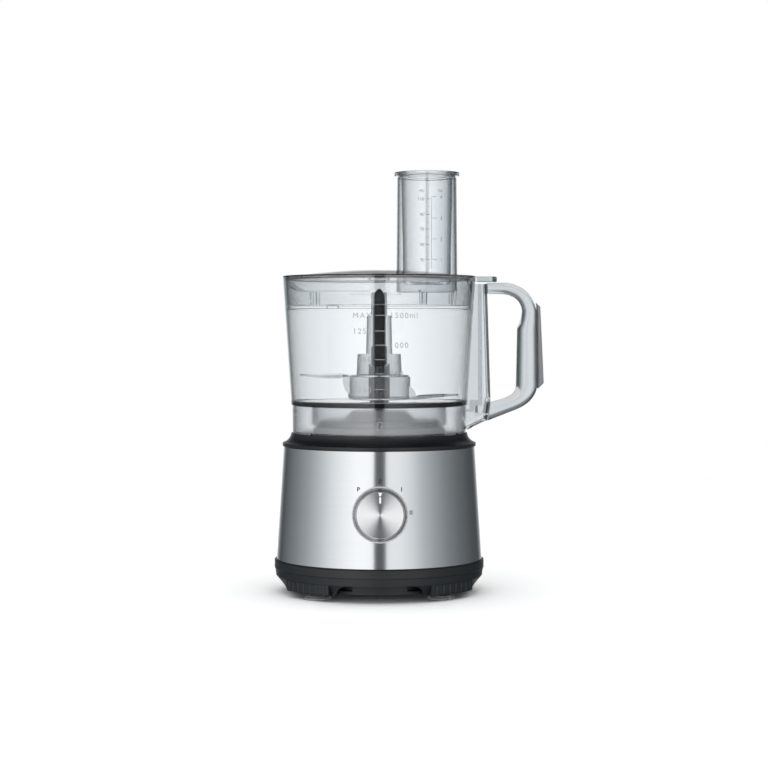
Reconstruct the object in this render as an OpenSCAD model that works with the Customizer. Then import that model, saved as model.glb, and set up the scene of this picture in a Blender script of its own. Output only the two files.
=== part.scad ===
// Food processor: motor base, clear bowl with a sickle blade, clear lid with a feed tube and pusher.
// Millimetres. The origin is where the drive axis meets the floor, +Z is up and -Y is the front.

/* [Base] */
// Height of the skirt's lower edge above the floor
foot_h = 5; // [4.6:0.1:7]
// Radius of the skirt's upper band
skirt_r = 95.4; // [95:0.1:97]
// Radius of the steel cover at its lower edge
cover_bottom_r = 93.6; // [93.4:0.1:94]
// Radius of the steel cover at its upper edge
cover_top_r = 87.2; // [87:0.1:88]
// Height of the steel cover
cover_h = 102.2; // [101:0.1:110]
// Thickness of the steel sheet
sheet_t = 0.8; // [0.6:0.1:1]
// Wall of the moulded plastic housings
wall = 2.6; // [2.2:0.1:2.8]
// Distance of each suction foot from the middle, across
foot_x = 54.5; // [52:0.5:56]
// Distance of each suction foot from the middle, front to back
foot_y = 52; // [50:0.5:54]

/* [Bowl] */
// Radius of the bowl's lower skirt
bowl_skirt_r = 79.1; // [79:0.1:79.3]
// Outer radius of the bowl at its floor
bowl_floor_r = 80.6; // [80.4:0.1:81]
// Outer radius of the bowl at its rim
bowl_rim_r = 88.5; // [88.2:0.1:89]
// Height of the bowl from the skirt's lower edge to the rim
bowl_h = 139.7; // [138:0.1:142]
// Wall of the clear plastic
clear_t = 2.4; // [2.2:0.1:2.6]

/* [Lid and pusher] */
// Rise of the lid's dome above the bowl's rim
dome_rise = 7.6; // [6:0.1:9]
// How far right of the drive axis the feed tube stands
tube_x = 43.6; // [42:0.1:45]
// Outer radius of the feed tube at its top
tube_r = 27.2; // [27:0.1:27.6]
// Height of the feed tube above the bowl's rim
tube_h = 91.3; // [80:0.1:100]
// Radius of the pusher's flange
pusher_flange_r = 29.7; // [28.5:0.1:31]

/* [Knob] */
// Height of the knob's middle above the floor
knob_z = 77.5; // [74:0.5:84]
// Radius of the knob's fixed bezel
bezel_r = 24.5; // [24.5:0.1:26]
// How far the knob stands out of the cover
knob_h = 15; // [13:0.5:17]

/* [Motor] */
// Distance from the drive axis back to the motor's axis
motor_y = 46; // [46:0.1:47]
// Radius at which the belt runs on the motor's pulley
small_pulley_r = 7; // [6.5:0.1:7.2]
// Radius at which the belt runs on the driven pulley
large_pulley_r = 34; // [33:0.1:34.2]

/* [Hidden] */
$fn = 96;
gap = 0.1;
small_fn = 32;
right = 0;
back = 90;
left = 180;
front = -90;

skirt_z = foot_h;
cover_z = skirt_z + 25;
collar_z = cover_z + cover_h;
collar_top = collar_z + 12.1;
bowl_z = collar_top + 1.4;
floor_z = bowl_z + 24.3;
floor_top = floor_z + 3;
rim_z = bowl_z + bowl_h;
ledge_z = rim_z - 28.6;
chimney_top = floor_top + 32;
tube_top = rim_z + tube_h;
flange_z = collar_z - 0.2;
deck_top = collar_z + 32.8;
dome_edge_r = 80;

function cover_r(z) = cover_bottom_r - (z - cover_z) * (cover_bottom_r - cover_top_r) / cover_h;
function bowl_r(z) = bowl_floor_r + (z - floor_top) * (bowl_rim_r - bowl_floor_r) / (rim_z - floor_top);
function bezier(a, b, c, n) = [for (i = [0:n]) let (t = i / n)
    (1 - t) * (1 - t) * a + 2 * t * (1 - t) * b + t * t * c];
function arc(x, y, r, from, to, n) = [for (i = [0:n]) let (t = from + (to - from) * i / n)
    [x + r * cos(t), y + r * sin(t)]];
function polar(r, t) = [r * cos(t), r * sin(t), 0];

cover_tilt = atan((cover_bottom_r - cover_top_r) / cover_h);
feet = [for (sx = [-1, 1], sy = [-1, 1]) [sx * foot_x, sy * foot_y, 0]];
posts = [for (sx = [-1, 1], sy = [-1, 1]) [sx * 56, sy * 38, 0]];
boss_angles = [20, 160, 200, 340];
boss_place_r = 66;
tongue_angles = [206, 346, 96];
tongue_half = 13;
pod_angle = 45.8;
pod_half = 17;
bowl_turn = 30;
plunger_x = 72;
rod_foot_z = floor_z - 0.8;
rod_shelf_z = rod_foot_z - 7;
column_top = rim_z - 5.4;
column_x = 101.6;
column_half = 10;
grip_x = 144.6;
rotor_bore_r = 3.03;

// ---- shared shapes ----

module ring(r_out, r_in, z, h) {
    translate([0, 0, z]) difference() {
        cylinder(r = r_out, h = h);
        translate([0, 0, -1]) cylinder(r = r_in, h = h + 2);
    }
}

// A pie slice from one angle to another, used to cut rings into arcs
module wedge(from, to, r, z, h) {
    translate([0, 0, z]) linear_extrude(h) polygon(concat([[0, 0]], arc(0, 0, r, from, to, 8)));
}

module arc_ring(r_out, r_in, z, h, from, to) {
    intersection() {
        ring(r_out, r_in, z, h);
        wedge(from, to, r_out * 1.3, z - 1, h + 2);
    }
}

// An outline in X and Z, extruded evenly to both sides of Y = 0
module slab(points, half) {
    translate([0, half, 0]) rotate([90, 0, 0]) linear_extrude(2 * half) polygon(points);
}

// Places children on the front of the cover, with +Z pointing straight out of it
module on_cover() {
    translate([0, -cover_r(knob_z), knob_z]) rotate([90 - cover_tilt, 0, 0]) children();
}

// A round wire wound into a spring, as one ring of points swept along a helix
module spring(r, wire, z, h, turns) {
    sides = 6;
    steps = turns * 14;
    rings = [for (i = [0:steps], k = [0:sides - 1])
        let (t = 360 * turns * i / steps, a = 360 * k / sides, rr = r + wire * cos(a))
        [rr * cos(t), rr * sin(t), z + wire + (h - 2 * wire) * i / steps + wire * sin(a)]];
    skin = [for (i = [0:steps - 1], k = [0:sides - 1])
        let (n = (k + 1) % sides, a = i * sides, b = a + sides)
        [a + k, b + k, b + n, a + n]];
    ends = [[for (k = [0:sides - 1]) k], [for (k = [sides - 1:-1:0]) steps * sides + k]];
    polyhedron(points = rings, faces = concat(skin, ends));
}

// ---- base shell ----

module arch(half) {
    side = bezier([half - 2.5, skirt_z + 4], [half - 5, skirt_z + 10], [half - 12, skirt_z + 10.2], 8);
    outline = concat([[half + 1, -1], [half, skirt_z]], side,
        [for (i = [8:-1:0]) [-side[i][0], side[i][1]]], [[-half, skirt_z], [-half - 1, -1]]);
    translate([0, -60, 0]) rotate([90, 0, 0]) linear_extrude(60) polygon(outline);
}

// The upright wall that stands proud of the tapering skirt above each foot
module foot_pod(angle) {
    rotate([0, 0, angle - pod_half]) rotate_extrude(angle = 2 * pod_half) polygon([
        [skirt_r - 10.4, skirt_z + 0.4], [skirt_r - 3.2, skirt_z + 0.4], [skirt_r - 2.3, skirt_z + 1.6],
        [skirt_r - 1.8, skirt_z + 11.4], [skirt_r - 3, skirt_z + 11.2], [skirt_r - 6.6, skirt_z + 6.6],
        [skirt_r - 9, skirt_z + 3.2]]);
}

module flute(angle) {
    flute_r = 1.5;
    rotate([0, 0, angle]) translate([skirt_r - 1.3, 0, skirt_z - 1])
        cylinder(r = flute_r, h = 10.2, $fn = small_fn);
}

module base_skirt() {
    color([0.2, 0.22, 0.23]) difference() {
        union() {
            rotate_extrude() polygon([
                [skirt_r - 9.4, skirt_z], [skirt_r - 8.5, skirt_z + 1.6], [skirt_r - 7, skirt_z + 3.8],
                [skirt_r - 4.4, skirt_z + 7], [skirt_r - 1.4, skirt_z + 10.5], [skirt_r - 0.7, skirt_z + 16.6],
                [skirt_r, skirt_z + 17.4], [skirt_r, cover_z - 0.8], [skirt_r - 0.8, cover_z],
                [skirt_r - 2.5, cover_z], [skirt_r - 2.5, skirt_z + 17], [skirt_r - 4.2, skirt_z + 11.6],
                [skirt_r - 7.4, skirt_z + 7.8], [skirt_r - 10, skirt_z + 4.4], [skirt_r - 12, skirt_z]]);
            for (side = [front, back], way = [-1, 1]) foot_pod(side + way * pod_angle);
        }
        for (turn = [0, 180]) rotate([0, 0, turn]) arch(40);
        for (turn = [90, 270]) rotate([0, 0, turn]) arch(18);
        for (side = [front, back], way = [-1, 1], i = [-3:3]) flute(side + way * (pod_angle + i * 4.6));
    }
}

module base_plate() {
    plate_r = 75;
    plate_z = skirt_z + 0.6;
    plate_t = 2.5;
    shelf_z = skirt_z + 13;
    color([0.24, 0.26, 0.27]) difference() {
        union() {
            translate([0, 0, plate_z]) cylinder(r = plate_r, h = plate_t);
            for (side = [front, back]) {
                arc_ring(plate_r, plate_r - 4, plate_z, shelf_z - plate_z, side - 18.7, side + 18.7);
                arc_ring(plate_r - 5, plate_r - 8, plate_z, shelf_z - plate_z, side - 31, side + 31);
                arc_ring(skirt_r - 3.8, plate_r - 8, shelf_z, 2, side - 31, side + 31);
            }
            for (side = [left, right]) {
                arc_ring(plate_r, plate_r - 4, plate_z, shelf_z - plate_z, side - 14, side + 14);
                arc_ring(skirt_r - 3.8, plate_r - 4, shelf_z, 2, side - 14, side + 14);
            }
            for (side = [front, back], way = [-1, 1]) rotate([0, 0, side + way * 53])
                arc_ring(skirt_r - 12.6, plate_r - 1, skirt_z + 0.2, 3, -24, 24);
            for (f = feet) translate(f + [0, 0, skirt_z - 2.2]) cylinder(r = 7.6, h = 5);
            for (p = posts) translate(p + [0, 0, plate_z]) cylinder(r = 5, h = cover_z + 13.9 - plate_z);
        }
        for (f = feet) translate(f + [0, 0, skirt_z - 3]) cylinder(r = 3.1, h = 9);
        for (t = boss_angles) translate(polar(boss_place_r, t) + [0, 0, skirt_z]) cylinder(r = 1.7, h = 5);
        for (i = [-3:3]) translate([-16, i * 7 - 1.5, skirt_z]) cube([32, 3, 5]);
        translate([0, plate_r - 8, skirt_z + 7.5]) rotate([-90, 0, 0]) cylinder(r = 4.5, h = 12);
    }
}

module suction_feet() {
    color([0.8, 0.82, 0.84]) for (f = feet) translate(f) rotate_extrude() polygon(concat(
        [[10.6, 0], [11.8, 0], [11.8, 0.8], [9.5, 1.6], [7.6, skirt_z - 2.3], [3, skirt_z - 2.3]],
        [[3, skirt_z + 4.6], [0, skirt_z + 4.6], [0, 1.8], [7, 1.4]]));
}

module base_screws() {
    color([0.6, 0.6, 0.62]) for (t = boss_angles) translate(polar(boss_place_r, t)) difference() {
        union() {
            translate([0, 0, skirt_z - 1.4]) cylinder(r = 3.2, h = 1.9, $fn = small_fn);
            translate([0, 0, skirt_z]) cylinder(r = 1.35, h = 17, $fn = small_fn);
        }
        translate([-2.2, -0.4, skirt_z - 2]) cube([4.4, 0.8, 1.4]);
        translate([-0.4, -2.2, skirt_z - 2]) cube([0.8, 4.4, 1.4]);
    }
}

module cord_gland() {
    color([0.1, 0.1, 0.1]) translate([0, 0, skirt_z + 7.5]) rotate([-90, 0, 0]) difference() {
        union() {
            translate([0, 0, 75.1]) cylinder(r = 5.4, h = 2.4);
            translate([0, 0, 69]) cylinder(r = 4.4, h = 7);
        }
        translate([0, 0, 60]) cylinder(r = 3.3, h = 20);
    }
}

module inner_housing() {
    skin = sheet_t + 0.3;
    low_r = skirt_r - 3;
    color([0.12, 0.12, 0.13]) difference() {
        union() {
            rotate_extrude() polygon([
                [low_r, cover_z - 6], [low_r, cover_z], [cover_r(cover_z) - skin, cover_z + 0.4],
                [cover_r(flange_z) - skin, flange_z], [58, flange_z], [58, flange_z - 2.4],
                [cover_r(flange_z) - skin - wall, flange_z - 2.4], [cover_r(cover_z) - skin - wall, cover_z],
                [low_r - wall, cover_z - 6]]);
            for (t = boss_angles) rotate([0, 0, t]) {
                translate([boss_place_r, 0, skirt_z + 3.2]) cylinder(r = 4, h = 44);
                translate([boss_place_r + 3, -1.5, cover_z - 5]) cube([90.6 - boss_place_r - 3, 3, 23]);
            }
        }
        for (t = boss_angles) translate(polar(boss_place_r, t) + [0, 0, skirt_z]) cylinder(r = 1.4, h = 20);
        translate([plunger_x, 0, flange_z - 4]) cylinder(r = 2.2, h = 6);
        on_cover() translate([0, 0, -8]) cylinder(r = 8, h = 12);
    }
}

module steel_cover() {
    color([0.75, 0.76, 0.78]) difference() {
        rotate_extrude() polygon([
            [cover_bottom_r, cover_z + gap], [cover_top_r, collar_z - gap],
            [cover_top_r - sheet_t, collar_z - gap], [cover_bottom_r - sheet_t, cover_z + gap]]);
        on_cover() translate([0, 0, -6]) cylinder(r = 7, h = 12);
    }
}

// ---- top of the base ----

module top_collar() {
    flare = bezier([88.1, collar_z + 3.2], [81.4, collar_z + 5.4], [80.3, collar_top], 10);
    color([0.1, 0.1, 0.11]) difference() {
        rotate_extrude() polygon(concat(
            [[85, collar_z], [87.6, collar_z], [88.2, collar_z + 0.6], [88.2, collar_z + 2.9]], flare,
            [[60.2, collar_top], [60.2, collar_top - 2.2], [79.9, collar_top - 2.2],
            [80, collar_z + 7.4], [82.4, collar_z + 4], [84.8, collar_z + 2]]));
        for (t = tongue_angles)
            arc_ring(79.3, 76.4, collar_z, 20, t - tongue_half - 0.6, t + tongue_half + bowl_turn + 0.6);
        translate([plunger_x, 0, collar_z]) cylinder(r = 2.1, h = 20);
    }
}

module drive_deck() {
    z = collar_z;
    color([0.7, 0.72, 0.74]) rotate_extrude() polygon([
        [59.6, z], [59.6, z + 17.4], [58.9, z + 18.1], [55.7, z + 18.4], [55, z + 19], [55, z + 23.5],
        [54.2, z + 24.1], [34, z + 24.4], [32.4, z + 25.2], [26.5, z + 31], [25.5, z + 32.1], [24, deck_top],
        [9.05, deck_top], [9.05, z + 25], [11.05, z + 25], [11.05, z + 16], [13.5, z + 16], [13.5, z + 29.4],
        [23, z + 29.4], [24.4, z + 28.4], [30.4, z + 22.7], [31.8, z + 21.9], [52.6, z + 21.7],
        [52.8, z + 16], [57.4, z + 15.4], [57.4, z]]);
}

module shaft_seal() {
    color([0.08, 0.08, 0.08]) rotate_extrude() polygon([
        [5.08, deck_top - 6.6], [9, deck_top - 7], [9, deck_top - 0.3], [5.6, deck_top - 0.3],
        [5.08, deck_top - 1.4]]);
}

module interlock_ring() {
    color([0.85, 0.85, 0.82]) difference() {
        ring(79.2, 75.3, collar_z + gap, 5.8);
        for (t = tongue_angles)
            arc_ring(80, 76.6, collar_z + 1.4, 6, t - tongue_half - 0.4, t + tongue_half + 0.4);
    }
}

module interlock_plunger() {
    color([0.85, 0.3, 0.2]) translate([plunger_x, 0, 0]) {
        translate([0, 0, collar_z - 3]) cylinder(r = 1.8, h = collar_top + 3.1 - collar_z, $fn = small_fn);
        translate([0, 0, collar_z + 3]) cylinder(r = 2.9, h = 1.2, $fn = small_fn);
    }
}

module plunger_spring() {
    color([0.7, 0.7, 0.72]) translate([plunger_x, 0, 0]) spring(2.4, 0.25, flange_z + 0.05, 3.1, 4);
}

module bowl_switch() {
    top = collar_z - 4.6;
    color([0.15, 0.15, 0.18]) difference() {
        union() {
            translate([plunger_x - 12, -3.2, top - 10]) cube([22, 6.4, 10]);
            translate([plunger_x - 1.5, -1.5, top - 0.5]) cube([3, 3, 2]);
            for (i = [-1:1]) translate([plunger_x - 1.5 + i * 7, -0.4, top - 15]) cube([3, 0.8, 6]);
        }
        for (x = [-8, 6]) translate([plunger_x + x, 5, top - 7]) rotate([90, 0, 0])
            cylinder(r = 1.2, h = 10, $fn = small_fn);
    }
}

// ---- drive train ----

module chassis_plate() {
    z = cover_z + 14;
    color([0.65, 0.66, 0.68]) difference() {
        union() {
            translate([0, 0, z]) intersection() {
                cylinder(r = 78, h = 2.5);
                translate([-64, -48, -1]) cube([128, 132, 6]);
            }
            translate([0, 0, z - 6]) cylinder(r = 14, h = 12);
        }
        translate([0, 0, z - 7]) cylinder(r = 11.05, h = 14);
        translate([0, motor_y, z - 1]) cylinder(r = 13, h = 5);
        for (p = posts) translate(p + [0, 0, z - 1]) cylinder(r = 2, h = 5);
        for (t = boss_angles) translate(polar(boss_place_r, t) + [0, 0, z - 1]) cylinder(r = 5, h = 5);
    }
}

module shaft_bearings() {
    color([0.8, 0.8, 0.82]) for (z = [cover_z + 9.5, collar_z + 17]) {
        ring(6.6, 5.04, z, 7);
        ring(11, 9.4, z, 7);
        ring(9.38, 6.62, z + 0.8, 5.4);
    }
}

module output_shaft() {
    color([0.75, 0.76, 0.78]) {
        translate([0, 0, cover_z - 10]) cylinder(r = 5, h = chimney_top + 10 - cover_z);
        translate([0, 0, chimney_top - 0.5]) cylinder(r = 4.6, h = 13, $fn = 6);
    }
}

module driven_pulley() {
    z = cover_z - 6;
    r = large_pulley_r - 0.8;
    color([0.16, 0.16, 0.17]) difference() {
        translate([0, 0, z]) rotate_extrude() polygon([
            [5.03, -2], [10, -2], [10, 5], [r - 3, 5], [r - 3, 0], [r + 1.4, 0], [r + 1.4, 1.2], [r, 1.6],
            [r, 11.4], [r + 1.4, 11.8], [r + 1.4, 13], [r - 3, 13], [r - 3, 8], [10, 8], [10, 14], [5.03, 14]]);
        for (i = [0:5]) translate(polar(20, 60 * i)) translate([0, 0, z]) cylinder(r = 6, h = 14, $fn = small_fn);
    }
}

module shaft_clip() {
    color([0.5, 0.5, 0.52]) difference() {
        ring(7.5, 5.04, cover_z - 9.4, 1);
        wedge(-25, 25, 12, cover_z - 11, 4);
    }
}

module motor_pulley() {
    z = cover_z - 6;
    r = small_pulley_r - 0.8;
    color([0.7, 0.7, 0.72]) translate([0, motor_y, z]) rotate_extrude() polygon([
        [rotor_bore_r, -1], [6, -1], [6, 0], [r + 1.3, 0], [r + 1.3, 1.2], [r, 1.6], [r, 11.4], [r + 1.3, 11.8],
        [r + 1.3, 13], [6, 13], [rotor_bore_r, 13]]);
}

// A flat belt held clear of both pulleys by a hair, so that they turn freely inside it
module drive_belt() {
    lean = asin((large_pulley_r - small_pulley_r) / motor_y);
    function loop_points(t) = concat(
        arc(0, 0, large_pulley_r + t, 180 - lean, 360 + lean, 40),
        arc(0, motor_y, small_pulley_r + t, lean, 180 - lean, 16));
    color([0.07, 0.07, 0.07]) translate([0, 0, cover_z - 4]) difference() {
        linear_extrude(9) polygon(loop_points(0.8));
        translate([0, 0, -1]) linear_extrude(11) polygon(loop_points(-0.55));
    }
}

module at_motor() {
    translate([0, motor_y, 0]) children();
}

module motor_stator() {
    color([0.45, 0.45, 0.48]) at_motor() difference() {
        intersection() {
            translate([-32, -32, cover_z + 40]) cube([64, 64, 30]);
            translate([0, 0, cover_z + 39]) cylinder(r = 38.5, h = 32);
        }
        translate([0, 0, cover_z + 38]) cylinder(r = 19, h = 34);
        for (t = [45:90:315]) rotate([0, 0, t]) translate([19, -4, cover_z + 38]) cube([8, 8, 34]);
    }
}

module field_coils() {
    color([0.72, 0.42, 0.2]) at_motor() for (z = [cover_z + 31.9, cover_z + 70.1], side = [front, back])
        arc_ring(28, 19.6, z, 8, side - 52, side + 52);
}

module motor_bridge(z, hub_z, post_z, post_h) {
    difference() {
        union() {
            translate([-34, -9, z]) cube([68, 18, 2.4]);
            translate([0, 0, hub_z]) cylinder(r = 11.6, h = 6);
            for (x = [-30, 30]) translate([x, 0, post_z]) cylinder(r = 2.6, h = post_h);
        }
        translate([0, 0, hub_z - 3]) cylinder(r = 9.55, h = 12);
    }
}

module lower_motor_bracket() {
    color([0.7, 0.7, 0.72]) at_motor()
        motor_bridge(cover_z + 16.6, cover_z + 15, cover_z + 18.9, 21);
}

module upper_motor_bracket() {
    color([0.7, 0.7, 0.72]) at_motor()
        motor_bridge(cover_z + 92, cover_z + 91, cover_z + 70.1, 22);
}

module motor_bearings() {
    color([0.8, 0.8, 0.82]) at_motor() for (z = [cover_z + 15.5, cover_z + 91.5]) {
        ring(4.4, 3.04, z, 5);
        ring(9.5, 8.2, z, 5);
        ring(8.18, 4.42, z + 0.6, 3.8);
    }
}

module brush_holders() {
    z = cover_z + 82;
    color([0.5, 0.38, 0.2]) at_motor() for (turn = [0, 180]) rotate([0, 0, turn]) difference() {
        translate([12, -4.5, z]) cube([14.4, 9, 9.9]);
        translate([10, -3, z + 1.8]) cube([18, 6, 6.4]);
    }
}

module carbon_brushes() {
    z = cover_z + 83.9;
    color([0.12, 0.12, 0.12]) at_motor() for (turn = [0, 180]) rotate([0, 0, turn])
        translate([10.2, -2.9, z]) cube([13, 5.8, 6.2]);
}

module rotor_shaft() {
    color([0.75, 0.76, 0.78]) at_motor() translate([0, 0, cover_z - 8]) cylinder(r = 3, h = 105);
}

module rotor_core() {
    color([0.4, 0.4, 0.43]) at_motor() difference() {
        translate([0, 0, cover_z + 40]) cylinder(r = 18.4, h = 30);
        translate([0, 0, cover_z + 39]) cylinder(r = rotor_bore_r, h = 32);
        for (i = [0:11]) rotate([0, 0, 30 * i]) translate([12, -1.2, cover_z + 39]) cube([8, 2.4, 32]);
    }
}

module rotor_windings() {
    color([0.75, 0.45, 0.2]) at_motor() for (z = [cover_z + 33.5, cover_z + 70.1])
        ring(15.5, rotor_bore_r, z, 6.4);
}

module commutator() {
    z = cover_z + 80;
    color([0.78, 0.5, 0.28]) at_motor() difference() {
        union() {
            translate([0, 0, z]) cylinder(r = 10, h = 10.5);
            translate([0, 0, z]) cylinder(r = 11.6, h = 1.4);
        }
        translate([0, 0, z - 1]) cylinder(r = rotor_bore_r, h = 13);
        for (i = [0:11]) rotate([0, 0, 30 * i]) translate([8.8, -0.25, z + 1.4]) cube([4, 0.5, 10]);
    }
}

module cooling_fan() {
    z = cover_z + 22;
    color([0.2, 0.2, 0.22]) at_motor() difference() {
        union() {
            translate([0, 0, z]) cylinder(r = 25, h = 1.6);
            translate([0, 0, z]) cylinder(r = 6, h = 8.4);
            for (i = [0:8]) rotate([0, 0, 40 * i]) translate([7, -0.7, z + 1]) rotate([0, 0, 14])
                cube([17, 1.4, 7]);
        }
        translate([0, 0, z - 1]) cylinder(r = rotor_bore_r, h = 12);
    }
}

module circuit_board() {
    color([0.15, 0.4, 0.25]) translate([-62, -32, cover_z + 30]) rotate([0, 0, -62]) {
        translate([-25, 0, 0]) cube([50, 1.6, 46]);
        translate([-18, 1.5, 6]) cube([14, 12, 14]);
        translate([4, 1.5, 8]) cube([16, 9, 10]);
        translate([-14, 1.4, 34]) rotate([-90, 0, 0]) cylinder(r = 6, h = 15, $fn = small_fn);
        translate([8, 1.5, 26]) cube([10, 3, 16]);
    }
}

// ---- knob and switch, built along the cover's outward normal ----

module rotary_switch() {
    color([0.18, 0.18, 0.2]) on_cover() difference() {
        union() {
            translate([-13, -13, -24]) cube([26, 26, 18]);
            translate([0, 0, -6.5]) cylinder(r = 5, h = 5.5);
            for (x = [-8, 0, 8]) translate([x - 1.5, -0.4, -31]) cube([3, 0.8, 8]);
        }
        translate([0, 0, -21]) cylinder(r = 3.06, h = 24);
    }
}

module knob_shaft() {
    color([0.75, 0.76, 0.78]) on_cover() difference() {
        translate([0, 0, -20]) cylinder(r = 3, h = 20 + knob_h - 5);
        translate([1.8, -4, 2.6]) cube([4, 8, knob_h]);
    }
}

module knob_bezel() {
    color([0.82, 0.83, 0.85]) on_cover() rotate_extrude() polygon([
        [bezel_r - 6, 1.1], [bezel_r, 1.1], [bezel_r, 2.6], [bezel_r - 0.7, 3.4], [bezel_r - 1.2, 3.4],
        [bezel_r - 1.2, 2.2], [bezel_r - 6, 2.2]]);
}

module knob_body() {
    r = bezel_r - 1.5;
    color([0.7, 0.71, 0.73]) on_cover() difference() {
        rotate_extrude() polygon(concat(
            [[0, 2.6], [r, 2.6], [r - 0.5, knob_h - 3.4]],
            bezier([r - 0.6, knob_h - 2.4], [r - 0.8, knob_h - 0.8], [r - 2.3, knob_h - 0.5], 5),
            [[r - 2.5, knob_h - 1.5], [0, knob_h - 1.5]]));
        difference() {
            translate([0, 0, 1.5]) cylinder(r = 3.05, h = knob_h - 6.3);
            translate([1.85, -4, 2.6]) cube([4, 8, knob_h]);
        }
    }
}

module knob_cap() {
    r = bezel_r - 4.05;
    color([0.86, 0.87, 0.88]) on_cover() difference() {
        rotate_extrude() polygon([
            [0, knob_h - 1.4], [r, knob_h - 1.4], [r, knob_h - 0.4], [r - 0.4, knob_h], [0, knob_h]]);
        translate([0, 0, knob_h - 0.6]) linear_extrude(2) pointer_marks();
    }
}

// A bar with a flared mark beyond it, near the knob's edge
module pointer_marks() {
    polygon([[-0.8, 10.3], [0.8, 10.3], [0.8, 15.5], [-0.8, 15.5]]);
    polygon([[-0.7, 16.5], [0.7, 16.5], [1.6, 19.4], [-1.6, 19.4]]);
}

module knob_pointer() {
    color([0.95, 0.95, 0.95]) on_cover() translate([0, 0, knob_h - 0.6]) linear_extrude(0.65) pointer_marks();
}

// ---- bowl ----

module bowl_outside() {
    rotate_extrude() polygon([
        [0, bowl_z - 4], [bowl_skirt_r + 0.05, bowl_z - 4], [bowl_skirt_r + 0.25, floor_z - 2],
        [bowl_floor_r + 0.05, floor_top], [bowl_rim_r + 0.05, rim_z], [0, rim_z]]);
}

module bowl() {
    foot_in = bowl_skirt_r - clear_t + 0.1;
    tongue_z = collar_z + 1.8;
    color([0.85, 0.88, 0.9, 0.4]) difference() {
        union() {
            rotate_extrude() polygon(concat(
                [[foot_in, bowl_z], [bowl_skirt_r, bowl_z], [bowl_skirt_r + 0.2, floor_z - 2],
                [bowl_floor_r, floor_top], [bowl_rim_r - 0.3, rim_z - 0.6], [bowl_rim_r - 0.6, rim_z],
                [bowl_rim_r - 1.9, rim_z], [bowl_r(ledge_z) - 2, ledge_z], [bowl_r(ledge_z) - 3, ledge_z]],
                bezier([bowl_r(floor_top + 5) - clear_t, floor_top + 5], [bowl_floor_r - clear_t, floor_top],
                    [bowl_floor_r - clear_t - 5, floor_top], 6),
                [[8.2, floor_top], [8.2, chimney_top], [6.4, chimney_top], [6.4, floor_z],
                [foot_in + 0.6, floor_z]]));
            for (t = tongue_angles)
                arc_ring(78.8, 76.9, tongue_z, bowl_z + 1.2 - tongue_z, t - tongue_half, t + tongue_half);
        }
        translate([70, -2.3, rod_foot_z - 7.2]) cube([15, 4.6, 7.4]);
    }
}

module column_solid(inset, top) {
    x = column_x - inset;
    half = column_half - inset;
    round_r = 6 - inset;
    intersection() {
        slab([[70, bowl_z + 1.1 + inset], [79.7, bowl_z + 1 + inset],
            [98.6 - inset * 0.6, bowl_z + 9.9 + inset], [x, floor_top], [x - 3.2, column_top],
            [x - 3.2, top], [70, top]], half);
        translate([0, 0, bowl_z - 2]) linear_extrude(top - bowl_z + 4) union() {
            translate([60, -half]) square([x - round_r - 60, 2 * half]);
            translate([60, round_r - half]) square([x - 60, 2 * (half - round_r)]);
            for (way = [-1, 1]) translate([x - round_r, way * (half - round_r)]) circle(r = round_r);
        }
    }
}

module interlock_column() {
    color([0.85, 0.88, 0.9, 0.4]) difference() {
        union() {
            difference() {
                column_solid(0, column_top);
                column_solid(2, column_top + 5);
            }
            intersection() {
                column_solid(1, column_top);
                translate([87, -9, rod_shelf_z - 2]) cube([12, 18, 2]);
            }
        }
        bowl_outside();
    }
}

function handle_outside() = concat(
    [[102, bowl_z + 10], [123.3, bowl_z + 18.7]],
    bezier([126, bowl_z + 19.9], [142.6, bowl_z + 26.6], [grip_x, bowl_z + 41], 9),
    bezier([grip_x - 0.8, rim_z - 30], [140, rim_z - 8.2], [117, rim_z - 4.2], 12),
    [[99.2, rim_z - 4.2]]);

function handle_inside() = concat(
    [[99.6, rim_z - 14.5], [111, rim_z - 14.7]],
    bezier([113, rim_z - 14.8], [129, rim_z - 16.5], [130.6, rim_z - 30], 9),
    bezier([130.6, rim_z - 31.5], [130, rim_z - 36], [126.1, rim_z - 44], 5),
    [[125.2, bowl_z + 44]],
    bezier([125, bowl_z + 42], [124.6, bowl_z + 33.4], [114, bowl_z + 30], 7),
    [[102.2, bowl_z + 26.4]]);

module handle() {
    color([0.8, 0.82, 0.84, 0.6]) difference() {
        slab(concat(handle_outside(), handle_inside()), 11);
        slab([[column_x + 0.1, floor_top], [column_x - 3.1, column_top], [column_x - 3.1, rim_z],
            [60, rim_z], [60, bowl_z], [98.7, bowl_z], [98.7, bowl_z + 9.8]], 12);
    }
}

module handle_grip() {
    color([0.3, 0.32, 0.34]) slab(concat(
        [[grip_x + 0.1, bowl_z + 41.4], [grip_x + 1.2, bowl_z + 38.6]],
        bezier([150.4, bowl_z + 43.5], [150.6, bowl_z + 80], [148.6, rim_z - 34], 8),
        [[147.2, rim_z - 24.2], [grip_x + 0.6, rim_z - 22.6], [grip_x - 0.65, rim_z - 29.8]]), 8);
}

module safety_rod() {
    color([0.8, 0.83, 0.85, 0.6]) {
        translate([90.4, -3, rod_foot_z]) cube([3.5, 6, column_top + 0.2 - rod_foot_z]);
        translate([83, -3, rod_foot_z]) cube([10.9, 6, 4.8]);
        translate([83, -3, rod_foot_z - 6]) cube([3.4, 6, 6.1]);
        translate([plunger_x - 1.6, -1.9, rod_foot_z - 6]) cube([13, 3.8, 2.6]);
        translate([plunger_x, 0, collar_top + 0.3])
            cylinder(r = 1.6, h = rod_foot_z - 4 - collar_top, $fn = small_fn);
    }
}

module rod_spring() {
    color([0.75, 0.76, 0.78]) translate([88.8, 0, 0]) spring(1.3, 0.25, rod_shelf_z + 0.05, 6.9, 7);
}

// ---- blade ----

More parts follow.
